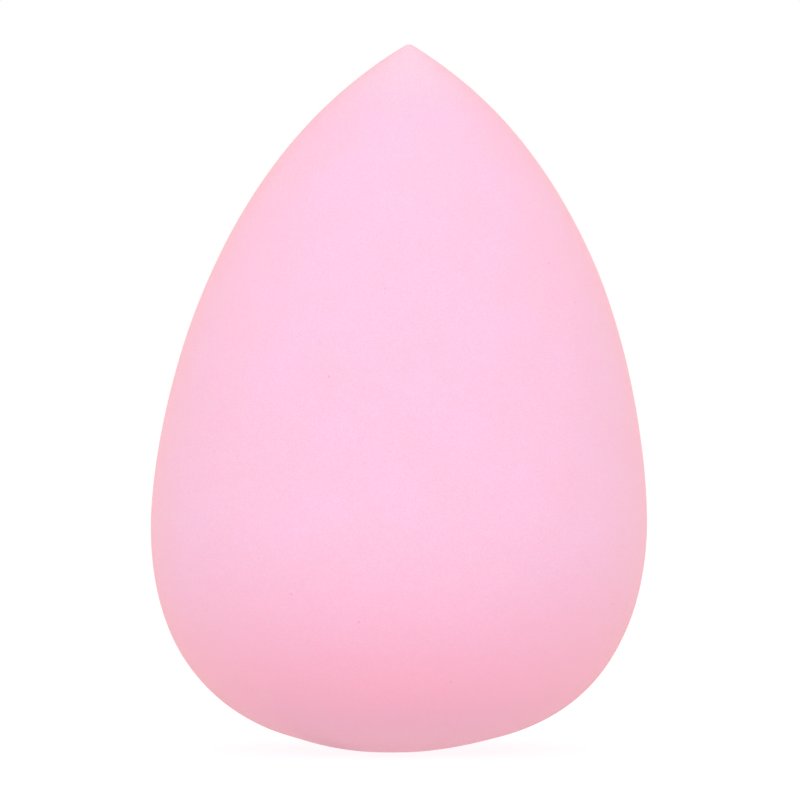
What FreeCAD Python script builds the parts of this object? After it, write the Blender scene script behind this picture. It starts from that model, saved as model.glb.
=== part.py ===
"""Makeup sponge: one solid teardrop of soft foam, round at the bottom, pointed at the top.

Sizes are in millimetres and +Z is up. The origin is the middle of the small flat on which
the sponge stands. The sponge leans a little, so its point stands off towards +X.
"""

import FreeCAD, Part
import math
import os

# Overall size
body_height = 60.0
belly_diameter = 42.0
belly_height = 19.6
tip_lean = 1.1

# Point: a small ball, and the slope at which the flank leaves it
tip_radius = 0.7
tip_slope_degrees = 58.3

# Flank: how far it keeps to that slope, and how far it stays upright over the belly
shoulder_reach = 22.9
flank_reach = 3.0

# Bowl: how far it stays upright under the belly, and how far it keeps to the slope of the base
bowl_reach = 16.7
heel_reach = 2.0

# Base: a shallow dome, flat where the sponge rests on it
base_dome_radius = 18.0
base_dome_diameter = 13.6
rest_flat_depth = 0.5
cut_overrun = 1.0

# The bowl and the flank are each turned as this many bands, so that none of their faces
# runs all the way from the broad belly to the small point
bands = 4

axis_direction = FreeCAD.Vector(0, 0, 1)
lean_direction = FreeCAD.Vector(0, 1, 0)
dome_centre_height = base_dome_radius - rest_flat_depth


def section_point(radius, height):
    """A point of the half section, which lies in the XZ plane."""
    return FreeCAD.Vector(radius, 0, height)


def section_arc(centre_height, radius, first_angle, last_angle):
    """An arc about a centre on the axis, its angles measured upwards from level."""
    angles = (first_angle, (first_angle + last_angle) / 2, last_angle)
    return Part.Arc(*[
        section_point(radius * math.cos(angle), centre_height + radius * math.sin(angle))
        for angle in angles
    ]).toShape()


def section_slope(angle):
    """The way along such an arc at an angle, inwards and up."""
    return section_point(-math.sin(angle), math.cos(angle))


def section_bands(poles):
    """A smooth curve that starts along its first two poles and ends along its last two."""
    curve = Part.BezierCurve()
    curve.setPoles(poles)
    return curve.toShape().split([band / bands for band in range(1, bands)]).Edges


def half_section():
    """The closed outline of half the sponge, upright and before the base is cut flat."""
    rim_angle = -math.acos(base_dome_diameter / 2 / base_dome_radius)
    dome = section_arc(dome_centre_height, base_dome_radius, math.radians(-90), rim_angle)
    tip_angle = math.radians(tip_slope_degrees)
    ball = section_arc(body_height - tip_radius, tip_radius, tip_angle, math.radians(90))
    pole = dome.firstVertex().Point
    dome_rim = dome.lastVertex().Point
    ball_rim = ball.firstVertex().Point
    tip = ball.lastVertex().Point
    belly = section_point(belly_diameter / 2, belly_height)
    bowl = section_bands([
        dome_rim,
        dome_rim + section_slope(rim_angle) * heel_reach,
        belly - section_point(0, bowl_reach),
        belly,
    ])
    flank = section_bands([
        belly,
        belly + section_point(0, flank_reach),
        ball_rim - section_slope(tip_angle) * shoulder_reach,
        ball_rim,
    ])
    axis = Part.makeLine(tip, pole)
    return Part.Face(Part.Wire([dome] + bowl + flank + [ball, axis]))


def lean_over(body):
    """The body turns about the centre of its dome, so the dome stays where it is."""
    centre = section_point(0, dome_centre_height)
    lean_angle = math.asin(tip_lean / (body_height - dome_centre_height))
    return body.rotated(centre, lean_direction, math.degrees(lean_angle))


def cut_flat(body):
    """What is left of the dome under the origin comes off, level."""
    depth = rest_flat_depth + cut_overrun
    return body.cut(Part.makeCylinder(belly_diameter / 2, depth, section_point(0, -depth)))


def sponge_body():
    """The sponge: turned about its axis, leant over and cut flat where it rests."""
    turned = half_section().revolve(section_point(0, 0), axis_direction, 360)
    return cut_flat(lean_over(turned)).Solids[0]


def main():
    os.makedirs("parts", exist_ok=True)
    body = sponge_body()
    body.exportStep("parts/sponge_body.step")
    box = body.optimalBoundingBox(False, False)
    print("size", round(box.XLength, 2), round(box.YLength, 2), round(box.ZLength, 2))
    print("lowest", round(box.ZMin, 4), "highest", round(box.ZMax, 4))
    print("middle", round(box.Center.x, 3), round(box.Center.y, 3))
    print("volume", round(body.Volume, 1), "valid", body.isValid(), "closed", body.isClosed())


main()
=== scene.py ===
"""Makeup sponge: a teardrop of soft pink foam, shown on a white studio floor.

Lengths are in metres and +Z is up. The sponge stands on its round bottom at the origin, and
its point leans towards +X.
"""

import math

import bpy
from bpy.props import FloatProperty, FloatVectorProperty, IntProperty, PointerProperty
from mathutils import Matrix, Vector


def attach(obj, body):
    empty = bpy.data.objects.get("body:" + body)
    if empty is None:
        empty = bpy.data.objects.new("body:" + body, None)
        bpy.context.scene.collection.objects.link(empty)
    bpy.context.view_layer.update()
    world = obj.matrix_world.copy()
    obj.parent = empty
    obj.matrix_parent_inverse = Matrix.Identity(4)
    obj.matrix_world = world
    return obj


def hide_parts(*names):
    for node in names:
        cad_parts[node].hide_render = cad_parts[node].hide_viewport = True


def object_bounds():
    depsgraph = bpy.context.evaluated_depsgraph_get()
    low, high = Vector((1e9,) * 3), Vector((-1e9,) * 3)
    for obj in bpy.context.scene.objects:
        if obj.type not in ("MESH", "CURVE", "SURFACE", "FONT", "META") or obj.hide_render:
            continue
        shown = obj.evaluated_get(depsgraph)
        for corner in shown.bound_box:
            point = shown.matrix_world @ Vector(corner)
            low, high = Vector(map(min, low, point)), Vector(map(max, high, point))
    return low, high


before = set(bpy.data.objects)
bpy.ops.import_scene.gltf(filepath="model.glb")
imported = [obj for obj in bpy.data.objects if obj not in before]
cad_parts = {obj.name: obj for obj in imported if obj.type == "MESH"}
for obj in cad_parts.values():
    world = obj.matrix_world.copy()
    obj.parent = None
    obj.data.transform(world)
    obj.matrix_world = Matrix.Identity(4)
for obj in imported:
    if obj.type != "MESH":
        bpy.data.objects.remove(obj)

bl_info = {
    "name": "Makeup Sponge",
    "version": (1, 0, 0),
    "blender": (4, 5, 0),
    "location": "View3D > Sidebar > Sponge",
    "description": "Models a teardrop makeup sponge of soft foam and the studio it is shown in",
    "category": "Add Mesh",
}

MM = 0.001

solid_low, solid_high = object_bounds()
SOLID_HEIGHT = solid_high[2] - solid_low[2]
SOLID_WIDTH = solid_high[1] - solid_low[1]
# The belly in the photograph is this much wider than the solid's
FULLER_BELLY = 0.1 * MM


# Properties

def length(name, description, default, smallest=0.0):
    """A length in metres that a user may change."""
    return FloatProperty(
        name=name, description=description, default=default, min=smallest,
        unit="LENGTH", subtype="DISTANCE", precision=5,
    )


def sway(name, description, default):
    """A length in metres that may also be negative."""
    return length(name, description, default, smallest=-5.0 * MM)


def share(name, description, default):
    """A share from 0 to 1."""
    return FloatProperty(
        name=name, description=description, default=default, min=0.0, max=1.0, subtype="FACTOR"
    )


def power(name, description, default):
    """A lamp's power in watts."""
    return FloatProperty(
        name=name, description=description, default=default, min=0.0, unit="POWER"
    )


def strength(name, description, default):
    """A plain strength of light, where 1 is white."""
    return FloatProperty(name=name, description=description, default=default, min=0.0)


def colour(name, description, default):
    """A linear colour."""
    return FloatVectorProperty(
        name=name, description=description, default=default, size=3, min=0.0, max=1.0,
        subtype="COLOR",
    )


def pixel(name, description, default):
    """A place or a size in the photograph, in its own pixels."""
    return FloatProperty(
        name=name, description=description, default=default, min=0.0, subtype="PIXEL"
    )


class SpongeSizes(bpy.types.PropertyGroup):
    """The teardrop's half outline, the axis it is turned about, and the waves of its foam."""

    height: length("Height", "From the floor to the point", SOLID_HEIGHT)
    belly_diameter: length(
        "Belly diameter", "Across the widest level", SOLID_WIDTH + FULLER_BELLY
    )
    belly_height: length("Belly height", "From the floor to the widest level", 19.4 * MM)
    tip_radius: length("Tip radius", "Of the small ball that ends the point", 0.7 * MM)
    tip_slope: FloatProperty(
        name="Tip slope", description="How steeply the flank meets the point, 90 being upright",
        default=math.radians(58.6), subtype="ANGLE", unit="ROTATION",
    )
    shoulder_reach: length("Shoulder reach", "How far the flank keeps that slope", 23.7 * MM)
    flank_reach: length("Flank reach", "How far it stays upright over the belly", 1.3 * MM)
    bowl_reach: length("Bowl reach", "How far it stays upright under the belly", 15.9 * MM)
    heel_reach: length("Heel reach", "How far the bowl keeps the slope of the base", 1.0 * MM)
    dome_radius: length("Base dome radius", "Of the shallow dome at the bottom", 28.5 * MM)
    dome_diameter: length("Base dome diameter", "Where the dome meets the bowl", 16.9 * MM)
    contact_depth: length("Contact depth", "How much the foam gives on the floor", 0.1 * MM)
    tip_lean: length("Lean", "How far the point stands off towards +X", 1.17 * MM)
    waist_sway: sway("Waist sway", "How far the waist bulges towards +X", -0.09 * MM)
    waist_height: length("Waist height", "Where it bulges most", 25.0 * MM)
    waist_spread: length("Waist spread", "How far above and below that it bulges", 17.0 * MM)
    heel_sway: sway("Heel sway", "How far the heel bulges towards +X", 0.13 * MM)
    heel_height: length("Heel height", "Where it bulges most", 4.5 * MM)
    heel_spread: length("Heel spread", "How far above and below that it bulges", 5.5 * MM)
    foot_sway: sway("Foot sway", "How far the foot bulges towards +X", -0.3 * MM)
    foot_spread: length("Foot spread", "How far above the floor it bulges", 1.5 * MM)
    unevenness: length("Unevenness", "Height of the soft waves of hand-cut foam", 0.06 * MM)
    wave_size: length("Wave size", "Across one of those waves", 9.0 * MM, 1.0 * MM)
    wave_fade: length("Wave fade", "Height over which the waves begin", 2.0 * MM, 0.1 * MM)
    ring_gap: length("Ring gap", "Between the rings of the cage", 1.2 * MM, 0.4 * MM)
    ring_corners: IntProperty(
        name="Ring corners", description="Corners of each ring of the cage", default=64, min=8
    )
    rounding_steps: IntProperty(
        name="Rounding steps", description="How often the cage's faces are split into four",
        default=2, min=1, max=3,
    )


class FoamFinish(bpy.types.PropertyGroup):
    """Colour, grain and softness of the foam, with painted highlight at the point and painted
    shade low down and in the hollows.
    """

    foam_colour: colour("Foam", "The pink of the foam", (0.975, 0.575, 0.78))
    cloud_colour: colour("Clouds", "Where the foam took a warmer dye", (0.975, 0.564, 0.71))
    clouding: share("Clouding", "How far the clouds turn to that dye", 0.5)
    cloud_size: length("Cloud size", "Across one cloud of that dye", 5.0 * MM, 0.5 * MM)
    # Painted highlight: the point is painted a paler pink where more light falls on it
    tip_painted_highlight: colour("Tip", "The paler pink of the thin point", (0.975, 0.632, 0.774))
    tip_reach: length("Tip reach", "How far down from the point the pink is paler", 7.0 * MM)
    # Painted shade: the pink is painted deeper low down, where less light falls
    heel_painted_shade: colour("Heel", "The deeper pink low down", (0.975, 0.435, 0.568))
    heel_top: length("Heel top", "Height at which the pink starts to deepen", 21.0 * MM)
    # Painted shade and painted reflection of the white floor: the pink is painted duller at the
    # foot
    foot_painted_shade: colour("Foot", "The duller pink that the foam stands on", (0.797, 0.442, 0.615))
    foot_top: length("Foot top", "Height at which the pink starts to dull", 7.3 * MM)
    cell_size: length("Cell size", "Across one cut cell of the foam", 0.14 * MM, 0.02 * MM)
    cell_depth: length("Cell depth", "How deep the cut cells are", 0.016 * MM)
    cell_relief: share("Cell relief", "How strongly that depth shows", 0.5)
    # Painted shade: the cells and pinholes are painted darker inside, where shade falls in the
    # hollows
    cell_shade: share("Cell shade", "How far the cells take the hollow colour", 0.22)
    pinhole_gap: length("Pinhole gap", "Between the pinholes", 2.6 * MM, 0.2 * MM)
    pinhole_size: length("Pinhole size", "Across the largest pinholes", 0.3 * MM, 0.02 * MM)
    pinhole_depth: length("Pinhole depth", "How deep they are", 0.05 * MM)
    pinhole_relief: share("Pinhole relief", "How strongly that depth shows", 0.7)
    # Painted shade inside the pinholes, and the colour of that painted shade in cells and pinholes
    pinhole_shade: share("Pinhole shade", "How far they take the hollow colour", 0.5)
    hollow_painted_shade: colour("Hollow colour", "The shade inside the holes", (0.94, 0.34, 0.48))
    dullness: share("Dullness", "Roughness inside the cells", 0.94)
    wall_polish: share("Wall polish", "How much less rough the walls of the cells are", 0.06)
    shine: share("Shine", "Plain gloss of the foam", 0.2)
    glow: share("Glow", "How much of the light goes through the foam", 0.3)
    glow_depth: length("Glow depth", "How far that light spreads", 1.6 * MM)
    glow_colour: colour("Glow colour", "How far each colour of it spreads", (1.0, 0.45, 0.55))
    fuzz: share("Fuzz", "Soft fuzz of the cut cell walls, seen along the surface", 1.0)
    fuzz_roughness: share("Fuzz roughness", "How far in from the edges it is seen", 0.5)
    fuzz_colour: colour("Fuzz colour", "The colour of that fuzz", (1.0, 0.54, 0.54))


class StudioSettings(bpy.types.PropertyGroup):
    """Lamps, floor and camera."""

    softbox: power("Softbox", "The wide lamp over the camera", 6.6)
    overhead: power("Overhead", "The lamp straight above", 2.9)
    front: power("Front", "The low lamp behind the camera", 2.05)
    aim_height: length("Aim height", "Height at which the lamps point", 30.0 * MM)
    tent: strength("Tent", "Even light from the white tent all around", 0.717)
    floor_size: length("Floor size", "Width and depth of the floor", 12.0)
    floor_colour: colour("Floor", "What the floor makes of the lamps", (0.25, 0.25, 0.25))
    floor_glow: strength("Floor glow", "Light through the white floor", 0.69)
    floor_white: strength("Floor white", "The same, as the camera sees it", 0.84)
    camera_distance: length(
        "Camera distance", "From the sponge's axis", 500.0 * MM, 100.0 * MM
    )
    frame_size: pixel("Frame", "Width and height of the photograph", 800.0)
    tip_pixel: pixel("Tip line", "Where the point is, from the top", 44.3)
    floor_pixel: pixel("Floor line", "Where the sponge stands, from the top", 751.1)
    base_pixel: pixel("Base middle", "Where its middle stands, from the left", 395.3)


# Half outline of the teardrop

def bezier_point(poles, share_along):
    """The point of a cubic curve at a share of its way."""
    rest = 1.0 - share_along
    weights = (
        rest ** 3,
        3.0 * rest ** 2 * share_along,
        3.0 * rest * share_along ** 2,
        share_along ** 3,
    )
    return sum((pole * weight for pole, weight in zip(poles, weights)), Vector((0.0, 0.0)))


def arc_point(centre_height, radius, angle):
    """The point of an arc about a centre on the axis, at an angle above level."""
    return Vector((radius * math.cos(angle), centre_height + radius * math.sin(angle)))


def arc_slope(angle):
    """The way along such an arc, inwards and up."""
    return Vector((-math.sin(angle), math.cos(angle)))


def outline_points(sizes):
    """The half outline as (radius, height) points, from the contact patch to the tip."""
    dome_centre = sizes.dome_radius - sizes.contact_depth
    patch_angle = -math.asin(dome_centre / sizes.dome_radius)
    rim_angle = -math.acos(sizes.dome_diameter / 2 / sizes.dome_radius)
    ball_centre = sizes.height - sizes.tip_radius
    top_angle = math.radians(90.0)
    dome_rim = arc_point(dome_centre, sizes.dome_radius, rim_angle)
    ball_rim = arc_point(ball_centre, sizes.tip_radius, sizes.tip_slope)
    belly = Vector((sizes.belly_diameter / 2, sizes.belly_height))
    bowl = (
        dome_rim,
        dome_rim + arc_slope(rim_angle) * sizes.heel_reach,
        belly - Vector((0.0, sizes.bowl_reach)),
        belly,
    )
    flank = (
        belly,
        belly + Vector((0.0, sizes.flank_reach)),
        ball_rim - arc_slope(sizes.tip_slope) * sizes.shoulder_reach,
        ball_rim,
    )
    stretches = (
        lambda part: arc_point(
            dome_centre, sizes.dome_radius, patch_angle + (rim_angle - patch_angle) * part
        ),
        lambda part: bezier_point(bowl, part),
        lambda part: bezier_point(flank, part),
        lambda part: arc_point(
            ball_centre, sizes.tip_radius, sizes.tip_slope + (top_angle - sizes.tip_slope) * part
        ),
    )
    points = []
    for stretch in stretches:
        points += even_points(stretch, sizes.ring_gap)
    return points + [stretches[-1](1.0)]


def even_points(stretch, gap, samples=400, fewest=3):
    """Points about a gap apart along a stretch of the outline, from its first to near its last."""
    fine = [stretch(step / samples) for step in range(samples + 1)]
    runs = [0.0]
    for before, after in zip(fine, fine[1:]):
        runs.append(runs[-1] + (after - before).length)
    count = max(fewest, round(runs[-1] / gap))
    return [
        next(point for point, run in zip(fine, runs) if run >= runs[-1] * number / count)
        for number in range(count)
    ]


def swell(height, middle, reach):
    """A smooth hump of 1 at a middle height that dies away within its reach."""
    return max(0.0, 1.0 - ((height - middle) / reach) ** 2) ** 2


def axis_offset(sizes, height):
    """How far the sponge's axis stands off towards +X at a height: its lean and its sways."""
    return (
        sizes.tip_lean * height / sizes.height
        + sizes.waist_sway * swell(height, sizes.waist_height, sizes.waist_spread)
        + sizes.heel_sway * swell(height, sizes.heel_height, sizes.heel_spread)
        + sizes.foot_sway * swell(height, 0.0, sizes.foot_spread)
    )


# Foam material

def new_group(name, inputs, outputs):
    """A new shader node group with named sockets: the group, its entry and its exit."""
    group = bpy.data.node_groups.new(name, "ShaderNodeTree")
    for socket, kind in inputs:
        group.interface.new_socket(name=socket, in_out="INPUT", socket_type=kind)
    for socket in outputs:
        group.interface.new_socket(name=socket, in_out="OUTPUT", socket_type="NodeSocketFloat")
    return group, group.nodes.new("NodeGroupInput"), group.nodes.new("NodeGroupOutput")


def feed(tree, socket, value):
    """Links a socket to a value that is itself a socket, or else sets it."""
    if isinstance(value, bpy.types.NodeSocket):
        tree.links.new(value, socket)
    else:
        socket.default_value = value


def add_math(tree, operation, first, second):
    """A math node on two values, each a socket or a number."""
    node = tree.nodes.new("ShaderNodeMath")
    node.operation = operation
    feed(tree, node.inputs[0], first)
    feed(tree, node.inputs[1], second)
    return node.outputs["Value"]


def add_ramp(tree, value, low, high):
    """A smooth step from 0 at low to 1 at high, each a socket or a number."""
    node = tree.nodes.new("ShaderNodeMapRange")
    node.interpolation_type = "SMOOTHSTEP"
    feed(tree, node.inputs["Value"], value)
    feed(tree, node.inputs["From Min"], low)
    feed(tree, node.inputs["From Max"], high)
    return node.outputs["Result"]


def add_mix(tree, kind, factor, first, second):
    """A mix of two values or colours: the first at a factor of 0, the second at 1."""
    node = tree.nodes.new("ShaderNodeMix")
    node.data_type = kind
    feed(tree, node.inputs["Factor"], factor)
    feed(tree, node.inputs["A"], first)
    feed(tree, node.inputs["B"], second)
    return node.outputs["Result"]


def add_bump(tree, height, relief, depth, normal=None):
    """A bump of a depth in metres, laid over another one where a normal is given."""
    node = tree.nodes.new("ShaderNodeBump")
    feed(tree, node.inputs["Height"], height)
    feed(tree, node.inputs["Strength"], relief)
    feed(tree, node.inputs["Distance"], depth)
    if normal:
        feed(tree, node.inputs["Normal"], normal)
    return node.outputs["Normal"]


def cut_cells_group():
    """Cut foam cells: small pits of uneven size with thin walls between them."""
    wall_softness = 0.5
    # Distances from a cell's middle, as shares of the cell size
    pit_floor, pit_rim = 0.1, 0.7
    wall_foot, wall_top = 0.4, 0.8
    group, entry, leave = new_group(
        "cut_cells",
        (("Vector", "NodeSocketVector"), ("Cell Size", "NodeSocketFloat")),
        ("Height", "Wall"),
    )
    density = add_math(group, "DIVIDE", 1.0, entry.outputs["Cell Size"])
    cells = group.nodes.new("ShaderNodeTexVoronoi")
    cells.feature = "SMOOTH_F1"
    feed(group, cells.inputs["Smoothness"], wall_softness)
    feed(group, cells.inputs["Vector"], entry.outputs["Vector"])
    feed(group, cells.inputs["Scale"], density)
    height = add_ramp(group, cells.outputs["Distance"], pit_floor, pit_rim)
    wall = add_ramp(group, cells.outputs["Distance"], wall_foot, wall_top)
    feed(group, leave.inputs["Height"], height)
    feed(group, leave.inputs["Wall"], wall)
    return group


def pinholes_group():
    """Pinholes: a few larger bubbles that the cut has opened, far apart and of many sizes."""
    # The share of a pinhole's radius over which it is at its deepest
    bottom_share = 0.3
    group, entry, leave = new_group(
        "pinholes",
        (
            ("Vector", "NodeSocketVector"),
            ("Gap", "NodeSocketFloat"),
            ("Size", "NodeSocketFloat"),
        ),
        ("Mask",),
    )
    density = add_math(group, "DIVIDE", 1.0, entry.outputs["Gap"])
    bubbles = group.nodes.new("ShaderNodeTexVoronoi")
    feed(group, bubbles.inputs["Vector"], entry.outputs["Vector"])
    feed(group, bubbles.inputs["Scale"], density)
    fate = group.nodes.new("ShaderNodeSeparateColor")
    feed(group, fate.inputs["Color"], bubbles.outputs["Color"])
    radius = add_math(group, "DIVIDE", entry.outputs["Size"], 2.0)
    edge = add_math(group, "MULTIPLY", radius, density)
    own_edge = add_math(group, "MULTIPLY", edge, fate.outputs["Red"])
    bottom = add_math(group, "MULTIPLY", own_edge, bottom_share)
    outside = add_ramp(group, bubbles.outputs["Distance"], bottom, own_edge)
    feed(group, leave.inputs["Mask"], add_math(group, "SUBTRACT", 1.0, outside))
    return group


def dye_clouds_group():
    """Soft clouds where the foam took more of another dye."""
    fineness, raggedness = 3.0, 0.45
    # The noise where there is none of that dye, and where there is the most of it
    clear, full = 0.25, 0.75
    group, entry, leave = new_group(
        "dye_clouds",
        (("Vector", "NodeSocketVector"), ("Cloud Size", "NodeSocketFloat")),
        ("Mask",),
    )
    clouds = group.nodes.new("ShaderNodeTexNoise")
    feed(group, clouds.inputs["Detail"], fineness)
    feed(group, clouds.inputs["Roughness"], raggedness)
    feed(group, clouds.inputs["Vector"], entry.outputs["Vector"])
    density = add_math(group, "DIVIDE", 1.0, entry.outputs["Cloud Size"])
    feed(group, clouds.inputs["Scale"], density)
    mask = add_ramp(group, clouds.outputs["Fac"], clear, full)
    feed(group, leave.inputs["Mask"], mask)
    return group


def end_band_group():
    """A soft band at one end of the sponge: 1 at the end's height, 0 where it has faded out."""
    group, entry, leave = new_group(
        "end_band",
        (
            ("Vector", "NodeSocketVector"),
            ("Faded", "NodeSocketFloat"),
            ("End", "NodeSocketFloat"),
        ),
        ("Mask",),
    )
    place = group.nodes.new("ShaderNodeSeparateXYZ")
    feed(group, place.inputs["Vector"], entry.outputs["Vector"])
    band = add_ramp(group, place.outputs["Z"], entry.outputs["Faded"], entry.outputs["End"])
    feed(group, leave.inputs["Mask"], band)
    return group


def place_group(tree, group, vector, values):
    """A group in a material, with its own values, fed by the object's coordinates."""
    node = tree.nodes.new("ShaderNodeGroup")
    node.node_tree = group
    feed(tree, node.inputs["Vector"], vector)
    for socket, value in values.items():
        node.inputs[socket].default_value = value
    return node.outputs


def foam_material(finish, height):
    """Fine open-cell foam: matte, a little translucent and fuzzy, with cut cells and pinholes, and
    painted highlight and shade in its colour.
    """
    material = bpy.data.materials.new("sponge_foam")
    material.use_nodes = True
    tree = material.node_tree
    shader = tree.nodes["Principled BSDF"]
    place = tree.nodes.new("ShaderNodeTexCoord").outputs["Object"]
    cells = place_group(tree, cut_cells_group(), place, {"Cell Size": finish.cell_size})
    pinholes = place_group(
        tree, pinholes_group(), place, {"Gap": finish.pinhole_gap, "Size": finish.pinhole_size}
    )
    clouds = place_group(tree, dye_clouds_group(), place, {"Cloud Size": finish.cloud_size})
    end_band = end_band_group()
    tip_faded = height - finish.tip_reach
    tip = place_group(tree, end_band, place, {"Faded": tip_faded, "End": height})
    heel = place_group(tree, end_band, place, {"Faded": finish.heel_top, "End": 0.0})
    foot = place_group(tree, end_band, place, {"Faded": finish.foot_top, "End": 0.0})

    drift = add_math(tree, "MULTIPLY", clouds["Mask"], finish.clouding)
    # Painted shade in the hollows of the cells and pinholes
    hollow = add_math(tree, "SUBTRACT", 1.0, cells["Height"])
    in_cells = add_math(tree, "MULTIPLY", hollow, finish.cell_shade)
    in_pinholes = add_math(tree, "MULTIPLY", pinholes["Mask"], finish.pinhole_shade)
    # The foam's pink with random dye clouds, then painted highlight at the point and painted shade
    # at the heel, the foot and in the hollows
    dye = (*finish.foam_colour, 1.0)
    for factor, tone in (
        (drift, finish.cloud_colour),
        (tip["Mask"], finish.tip_painted_highlight),
        (heel["Mask"], finish.heel_painted_shade),
        (foot["Mask"], finish.foot_painted_shade),
        (in_cells, finish.hollow_painted_shade),
        (in_pinholes, finish.hollow_painted_shade),
    ):
        dye = add_mix(tree, "RGBA", factor, dye, (*tone, 1.0))
    feed(tree, shader.inputs["Base Color"], dye)

    smoother = add_math(tree, "MULTIPLY", cells["Wall"], finish.wall_polish)
    roughness = add_math(tree, "SUBTRACT", finish.dullness, smoother)
    feed(tree, shader.inputs["Roughness"], roughness)

    grain = add_bump(tree, cells["Height"], finish.cell_relief, finish.cell_depth)
    solid = add_math(tree, "SUBTRACT", 1.0, pinholes["Mask"])
    pitted = add_bump(tree, solid, finish.pinhole_relief, finish.pinhole_depth, grain)
    feed(tree, shader.inputs["Normal"], pitted)

    shader.inputs["Specular IOR Level"].default_value = finish.shine
    shader.inputs["Subsurface Weight"].default_value = finish.glow
    shader.inputs["Subsurface Radius"].default_value = finish.glow_colour
    shader.inputs["Subsurface Scale"].default_value = finish.glow_depth
    shader.inputs["Sheen Weight"].default_value = finish.fuzz
    shader.inputs["Sheen Roughness"].default_value = finish.fuzz_roughness
    shader.inputs["Sheen Tint"].default_value = (*finish.fuzz_colour, 1.0)
    return material


# Pieces and stage

def deselect_all():
    """Object mode, with nothing selected."""
    if bpy.context.object and bpy.context.object.mode != "OBJECT":
        bpy.ops.object.mode_set(mode="OBJECT")
    bpy.ops.object.select_all(action="DESELECT")


class SPONGE_OT_body(bpy.types.Operator):
    """Raise the teardrop ring by ring, round it off and give it its foam"""

    bl_idname = "sponge.body"
    bl_label = "Sponge Body"
    bl_options = {"REGISTER", "UNDO"}

    def execute(self, context):
        sizes = context.scene.sponge_sizes
        rings = outline_points(sizes)
        # The rounding draws each ring in to this share of the cage's radius
        drawn_in = (2.0 + math.cos(2.0 * math.pi / sizes.ring_corners)) / 3.0
        deselect_all()
        bpy.ops.mesh.primitive_circle_add(
            vertices=sizes.ring_corners, radius=rings[0].x / drawn_in, fill_type="TRIFAN",
            location=(axis_offset(sizes, 0.0), 0.0, 0.0),
        )
        body = context.object
        body.name = "foam_body"
        bpy.ops.object.transform_apply(location=True, rotation=False, scale=False)
        bpy.ops.object.mode_set(mode="EDIT")
        bpy.ops.mesh.select_all(action="DESELECT")
        bpy.ops.mesh.select_non_manifold(extend=False)
        for before, after in zip(rings, rings[1:-1]):
            self.raise_ring(sizes, before, after)
            growth = after.x / before.x
            bpy.ops.transform.resize(
                value=(growth, growth, 1.0),
                center_override=(axis_offset(sizes, after.y), 0.0, after.y),
            )
        self.raise_ring(sizes, rings[-2], rings[-1])
        bpy.ops.mesh.merge(type="CENTER")
        bpy.ops.mesh.select_all(action="SELECT")
        bpy.ops.mesh.normals_make_consistent(inside=False)
        bpy.ops.object.mode_set(mode="OBJECT")
        self.round_off(body, sizes)
        self.wave(body, sizes)
        bpy.ops.object.shade_smooth()
        body.data.materials.append(foam_material(context.scene.foam_finish, sizes.height))
        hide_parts("sponge_body")
        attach(body, "root")
        return {"FINISHED"}

    def raise_ring(self, sizes, before, after):
        """Extrudes the selected ring up to the next height, along the sponge's axis."""
        step = axis_offset(sizes, after.y) - axis_offset(sizes, before.y)
        bpy.ops.mesh.extrude_region_move(
            TRANSFORM_OT_translate={"value": (step, 0.0, after.y - before.y)}
        )

    def round_off(self, body, sizes):
        """Rounds the cage off with finer faces."""
        rounding = body.modifiers.new("rounding", "SUBSURF")
        rounding.levels = sizes.rounding_steps
        rounding.render_levels = sizes.rounding_steps
        bpy.ops.object.modifier_apply(modifier=rounding.name)

    def wave(self, body, sizes):
        """Gives the surface the soft, shallow waves of hand-cut foam, but not at the foot."""
        waved = body.vertex_groups.new(name="waved")
        for vertex in body.data.vertices:
            waved.add([vertex.index], min(1.0, vertex.co.z / sizes.wave_fade), "REPLACE")
        waves = bpy.data.textures.new("foam_waves", "CLOUDS")
        waves.noise_scale = sizes.wave_size
        waves.noise_depth = 1
        push = body.modifiers.new("waves", "DISPLACE")
        push.texture = waves
        push.texture_coords = "LOCAL"
        push.vertex_group = waved.name
        push.strength = sizes.unevenness
        bpy.ops.object.modifier_apply(modifier=push.name)
        body.vertex_groups.clear()


def seen_directly(tree):
    """1 where the camera, a reflection or a clear body looks, and 0 for light on the way."""
    rays = tree.nodes.new("ShaderNodeLightPath")
    seen = add_math(tree, "MAXIMUM", rays.outputs["Is Camera Ray"], rays.outputs["Is Glossy Ray"])
    return add_math(tree, "MAXIMUM", seen, rays.outputs["Is Transmission Ray"])


def two_strengths(tree, lights, shows):
    """One strength for the light that is cast, another for what is seen directly."""
    return add_mix(tree, "FLOAT", seen_directly(tree), lights, shows)


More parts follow.
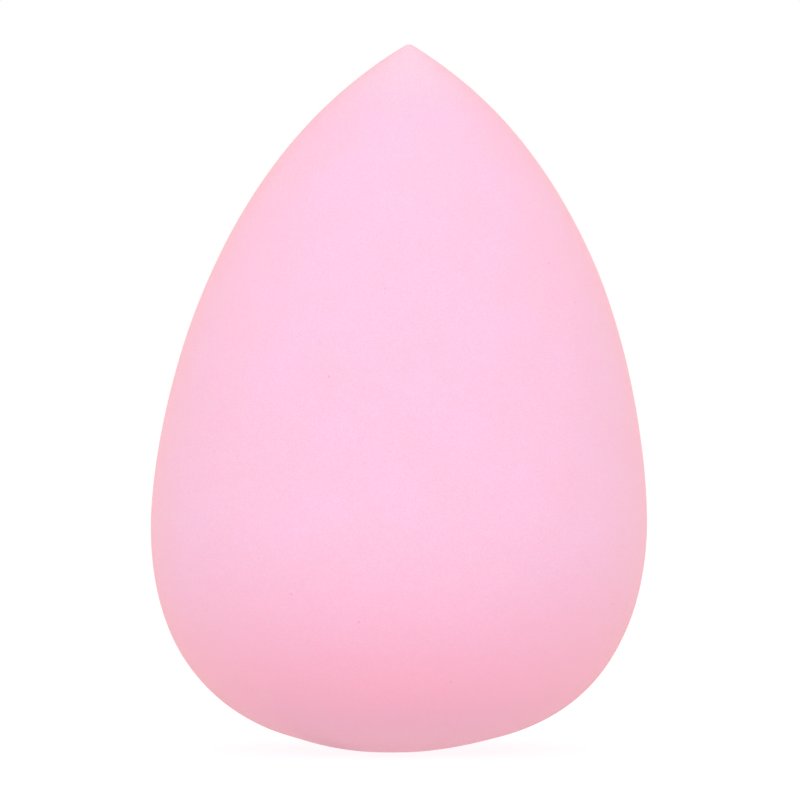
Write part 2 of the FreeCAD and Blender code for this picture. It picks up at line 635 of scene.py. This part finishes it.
class SPONGE_OT_studio(bpy.types.Operator):
    """Set up the white floor, the soft lamps and the camera"""

    bl_idname = "sponge.studio"
    bl_label = "Studio"
    bl_options = {"REGISTER", "UNDO"}

    def execute(self, context):
        scene = context.scene
        studio = scene.studio_settings
        self.lay_floor(studio)
        self.light_tent(scene, studio)
        self.hang_lamps(studio)
        self.set_camera(scene, studio)
        scene.view_settings.view_transform = "Standard"
        return {"FINISHED"}

    def lay_floor(self, studio):
        """A white floor with a little light through it, which keeps the sponge's shadow."""
        deselect_all()
        bpy.ops.mesh.primitive_plane_add(size=studio.floor_size)
        floor = bpy.context.object
        floor.name = "studio_floor"
        material = bpy.data.materials.new("studio_floor")
        material.use_nodes = True
        tree = material.node_tree
        shader = tree.nodes["Principled BSDF"]
        shader.inputs["Base Color"].default_value = (*studio.floor_colour, 1.0)
        shader.inputs["Roughness"].default_value = 1.0
        shader.inputs["Specular IOR Level"].default_value = 0.0
        shader.inputs["Emission Color"].default_value = (1.0, 1.0, 1.0, 1.0)
        glow = two_strengths(tree, studio.floor_glow, studio.floor_white)
        feed(tree, shader.inputs["Emission Strength"], glow)
        floor.data.materials.append(material)

    def light_tent(self, scene, studio):
        """Even light from a white tent all around, seen as plain white."""
        world = bpy.data.worlds.new("white_tent")
        world.use_nodes = True
        tree = world.node_tree
        background = tree.nodes["Background"]
        background.inputs["Color"].default_value = (1.0, 1.0, 1.0, 1.0)
        feed(tree, background.inputs["Strength"], two_strengths(tree, studio.tent, 1.0))
        scene.world = world

    def hang_lamps(self, studio):
        """Large soft lamps, each aimed at the middle of the sponge."""
        aim = Vector((0.0, 0.0, studio.aim_height))
        for name, watts, place, width, depth in (
            ("softbox", studio.softbox, (-0.05, -1.0, 1.0), 2.4, 0.9),
            ("overhead", studio.overhead, (0.0, -0.1, 1.4), 1.2, 1.2),
            ("front", studio.front, (0.0, -1.4, 0.15), 1.2, 0.5),
        ):
            bpy.ops.object.light_add(type="AREA", location=place)
            lamp = bpy.context.object
            lamp.name = name
            lamp.data.shape = "RECTANGLE"
            lamp.data.size = width
            lamp.data.size_y = depth
            lamp.data.energy = watts
            lamp.rotation_euler = (aim - Vector(place)).to_track_quat("-Z", "Y").to_euler()
            lamp.visible_camera = False

    def set_camera(self, scene, studio):
        """A level camera that sees the sponge where the photograph has it."""
        distance = studio.camera_distance
        pixel_size = scene.sponge_sizes.height / (studio.floor_pixel - studio.tip_pixel)
        middle = studio.frame_size / 2
        place = (
            (middle - studio.base_pixel) * pixel_size,
            -distance,
            (studio.floor_pixel - middle) * pixel_size,
        )
        bpy.ops.object.camera_add(location=place, rotation=(math.radians(90.0), 0.0, 0.0))
        camera = bpy.context.object
        camera.name = "photo_camera"
        view_width = studio.frame_size * pixel_size
        camera.data.lens = camera.data.sensor_width * distance / view_width
        scene.camera = camera


class SPONGE_PT_panel(bpy.types.Panel):
    """Sizes, finish and studio of the makeup sponge, and the steps that make them"""

    bl_label = "Makeup Sponge"
    bl_idname = "SPONGE_PT_panel"
    bl_space_type = "VIEW_3D"
    bl_region_type = "UI"
    bl_category = "Sponge"

    def draw(self, context):
        scene = context.scene
        for settings, operator in (
            (scene.sponge_sizes, SPONGE_OT_body),
            (scene.foam_finish, None),
            (scene.studio_settings, SPONGE_OT_studio),
        ):
            box = self.layout.box()
            for name in settings.__annotations__:
                box.prop(settings, name)
            if operator:
                box.operator(operator.bl_idname)


CLASSES = (
    SpongeSizes, FoamFinish, StudioSettings, SPONGE_OT_body, SPONGE_OT_studio, SPONGE_PT_panel
)


def register():
    for cls in CLASSES:
        bpy.utils.register_class(cls)
    bpy.types.Scene.sponge_sizes = PointerProperty(type=SpongeSizes)
    bpy.types.Scene.foam_finish = PointerProperty(type=FoamFinish)
    bpy.types.Scene.studio_settings = PointerProperty(type=StudioSettings)


def unregister():
    del bpy.types.Scene.studio_settings
    del bpy.types.Scene.foam_finish
    del bpy.types.Scene.sponge_sizes
    for cls in reversed(CLASSES):
        bpy.utils.unregister_class(cls)


def main():
    """Makes the sponge and its studio."""
    register()
    bpy.ops.sponge.body()
    bpy.ops.sponge.studio()


if __name__ == "__main__":
    main()
